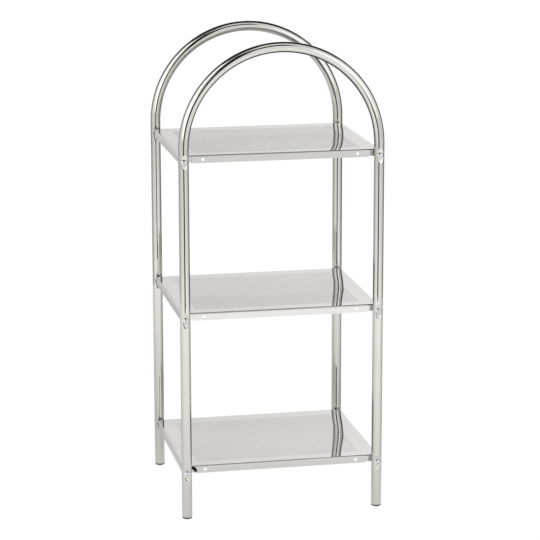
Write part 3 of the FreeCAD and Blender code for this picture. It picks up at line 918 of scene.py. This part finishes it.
def glow(name, colour, strength):
    """A material that gives off an even light."""
    material = bpy.data.materials.new(name)
    material.use_nodes = True
    nodes = material.node_tree.nodes
    nodes.clear()
    out = nodes.new("ShaderNodeOutputMaterial")
    light = nodes.new("ShaderNodeEmission")
    light.inputs["Color"].default_value = (*colour, 1)
    light.inputs["Strength"].default_value = strength
    material.node_tree.links.new(light.outputs["Emission"], out.inputs["Surface"])
    return material


def fading(name, low, high):
    """A card's glow that changes with the height; low and high are (height, level)."""
    material = glow(name, WHITE, 1.0)
    nodes = material.node_tree.nodes
    links = material.node_tree.links
    place = nodes.new("ShaderNodeNewGeometry").outputs["Position"]
    level = spread(nodes, links, coordinates(nodes, links, place)["Z"], low, high, smooth=True)
    links.new(level, nodes["Emission"].inputs["Strength"])
    return material


def round_share(azimuth):
    """An azimuth from the camera's side as a share of the turn, which starts straight behind the object."""
    return (math.radians(azimuth) + YAW + math.pi) / (2 * math.pi)


def apron_material():
    """A glow on the floor that changes with the azimuth and with the distance from the object, with painted
    shade near the object and under the shelf.
    """
    material = glow("apron", WHITE, APRON_GLOW)
    nodes = material.node_tree.nodes
    links = material.node_tree.links
    place = nodes.new("ShaderNodeNewGeometry").outputs["Position"]
    parts = coordinates(nodes, links, place)
    ahead = worked(nodes, links, "ShaderNodeMath", "MULTIPLY", parts["Y"], -1.0)
    angle = worked(nodes, links, "ShaderNodeMath", "ARCTAN2", parts["X"], ahead.outputs["Value"])
    turned = spread(nodes, links, angle.outputs["Value"], (-math.pi, 0.0), (math.pi, 1.0))
    tone = ramp(nodes, links, turned,
                [(round_share(azimuth), level / APRON_GLOW) for azimuth, level in APRON_TONES])
    far = worked(nodes, links, "ShaderNodeVectorMath", "LENGTH", place)
    far_share = spread(nodes, links, far.outputs["Value"], (0.0, 0.0), (APRON_REACH, 1.0))

    def by_distance(levels, scale=1.0):
        """A ramp of (distance, level) pairs."""
        stops = [(distance / APRON_REACH, level / scale) for distance, level in levels]
        return ramp(nodes, links, far_share, stops)

    both = worked(nodes, links, "ShaderNodeVectorMath", "MULTIPLY", tone, by_distance(APRON_FADE))
    blend = nodes.new("ShaderNodeMix")
    blend.data_type = "VECTOR"
    links.new(by_distance(UNDER_SHADE, APRON_GLOW), blend.inputs["A"])
    links.new(by_distance(APRON_BLEND), blend.inputs["Factor"])
    links.new(both.outputs["Vector"], blend.inputs["B"])
    links.new(blend.outputs["Result"], nodes["Emission"].inputs["Color"])
    return material


# Floor and cards
FLOOR_HALF = 20.0
FLOOR_Z = -0.0005
HEART = Vector((0, 0, 0.6))
WALL_STEPS = 24


def toward(azimuth, elevation):
    """A direction from the object: azimuth from the camera's side, positive to the right."""
    a = math.radians(azimuth) + YAW
    e = math.radians(elevation)
    return Vector((math.sin(a) * math.cos(e), -math.cos(a) * math.cos(e), math.sin(e)))


def stage_sheet(name, material, points, faces, shown=False):
    """A sheet of the stage; one that isn't shown is seen in reflections only."""
    mesh = bpy.data.meshes.new(name)
    mesh.from_pydata(points, [], faces)
    mesh.materials.append(material)
    sheet = bpy.data.objects.new(name, mesh)
    scene.collection.objects.link(sheet)
    if not shown:
        sheet.visible_camera = False
        sheet.visible_diffuse = False
        sheet.visible_shadow = False


def card(name, material, rows):
    """A bent studio card between rows of points."""
    count = len(rows[0])
    points = [tuple(p) for row in rows for p in row]
    faces = [(r * count + c, r * count + c + 1, (r + 1) * count + c + 1, (r + 1) * count + c)
             for r in range(len(rows) - 1) for c in range(count - 1)]
    stage_sheet(name, material, points, faces)


def wall(name, material, start, end, stations):
    """A card bent round the object between two azimuths; stations are (distance, height)."""
    rows = []
    for step in range(WALL_STEPS + 1):
        out = toward(start + (end - start) * step / WALL_STEPS, 0.0)
        rows.append([out * distance + Vector((0, 0, height)) for distance, height in stations])
    card(name, material, rows)


def ribbon(name, material, stops, distance):
    """A bent strip that follows directions round the object; stops are (azimuth, elevation, half width)."""
    centres = [HEART + toward(azimuth, elevation) * distance for azimuth, elevation, _ in stops]
    rows = []
    for i, centre in enumerate(centres):
        ahead = centres[min(i + 1, len(centres) - 1)] - centres[max(i - 1, 0)]
        side = ahead.cross(centre - HEART).normalized() * stops[i][2]
        rows.append([centre - side, centre + side])
    card(name, material, rows)


light_sky()
floor_corners = [(FLOOR_HALF * sx, FLOOR_HALF * sy, FLOOR_Z)
                 for sx, sy in ((-1, -1), (1, -1), (1, 1), (-1, 1))]
stage_sheet("floor", glow("pale_floor", WARM_WHITE, FLOOR_GLOW), floor_corners, [(0, 1, 2, 3)], shown=True)
black_card = glow("black_card", WHITE, 0.015)
dim_card = glow("dim_card", CARD_GREY, 0.30)
grey_card = glow("grey_card", CARD_GREY, 0.6)
rear_glow = glow("rear_apron", WARM_WHITE, 0.88)
right_strip = glow("right_strip", BOX_WHITE, 3.5)
left_strip = glow("left_strip", BOX_WHITE, 2.2)
left_box = fading("left_box", (0.4, 0.95), (1.5, 2.1))
right_box = fading("right_box", (0.4, 0.9), (1.5, 1.45))
left_flag = fading("left_flag", (0.38, 0.45), (1.6, 0.14))
right_flag = fading("right_flag", (0.38, 0.2), (1.6, 0.12))
apron = apron_material()

# Dark cards in front of the object, which draw dark lines on the tubes: (azimuth, elevation, half width)
FRONT_FLAG = [(1.5, -19, 0.36), (1.5, -11, 0.36), (0, -3, 0.36), (-1.5, 10, 0.36), (-2.5, 20, 0.35),
              (-2.5, 36, 0.35)]
FRONT_FLAG_DISTANCE = 1.85
TOP_RING = 2.0
TOP_FLAG_Z = 3.56
ribbon("front_flag", black_card, FRONT_FLAG, FRONT_FLAG_DISTANCE)
wall("front_top_flag", black_card, -22, 33, [(TOP_RING, 1.95), (TOP_RING, TOP_FLAG_Z)])
wall("left_top_card", dim_card, -85, -20, [(TOP_RING, TOP_FLAG_Z), (1.2, 3.8), (0.4, 3.9)])

# Walls and dark flags beside the object and behind it, and the apron on the floor
SIDE_RING = 1.8
SIDE_WALL_TOP = 0.38
SIDE_FLAG_TOP = 2.6
APRON_RING = 1.79
APRON_HUB = 0.001
APRON_Z = 0.0015
SIDE_WALL = [(SIDE_RING, 0.0), (SIDE_RING, SIDE_WALL_TOP)]
SIDE_FLAG = [(SIDE_RING, SIDE_WALL_TOP), (SIDE_RING, SIDE_FLAG_TOP)]
OUTER_APRON = [(APRON_RING, APRON_Z), (APRON_REACH, APRON_Z)]
wall("right_wall", dim_card, 96, 164, SIDE_WALL)
wall("left_wall", grey_card, -143, -88, SIDE_WALL)
wall("right_high_flag", right_flag, 96, 160, SIDE_FLAG)
wall("left_high_flag", left_flag, -143, -96, SIDE_FLAG)
wall("ring_apron", apron, -180, 180, [(APRON_HUB, APRON_Z), (APRON_RING, APRON_Z)])
wall("rear_apron", rear_glow, -180, -120, OUTER_APRON)
wall("front_apron", apron, -88, 96, OUTER_APRON)

# A dark card over the object, from high behind it to straight above: (azimuth, elevation)
CEILING_ARC = [(180, 27), (180, 36), (180, 45), (180, 55), (180, 65), (180, 75), (180, 85), (0, 85)]
CEILING_HALF_WIDTH = 3.2
CEILING_DISTANCE = 3.0
ribbon("ceiling_flag", black_card, [(*stop, CEILING_HALF_WIDTH) for stop in CEILING_ARC], CEILING_DISTANCE)

# Lit boxes in front on both sides
BOX_RING = 2.3
BOX_FOOT = 0.4
STRIP_BOX = [(BOX_RING, 0.55), (BOX_RING, 1.5)]
wall("right_strip_box", right_strip, 31, 44, STRIP_BOX)
wall("left_strip_box", left_strip, -41, -18, STRIP_BOX)
wall("left_soft_box", left_box, -73, -41, [(BOX_RING, BOX_FOOT), (BOX_RING, 2.2), (1.5, 3.0)])
wall("right_soft_box", right_box, 44, 78, [(BOX_RING, BOX_FOOT), (BOX_RING, 2.0)])
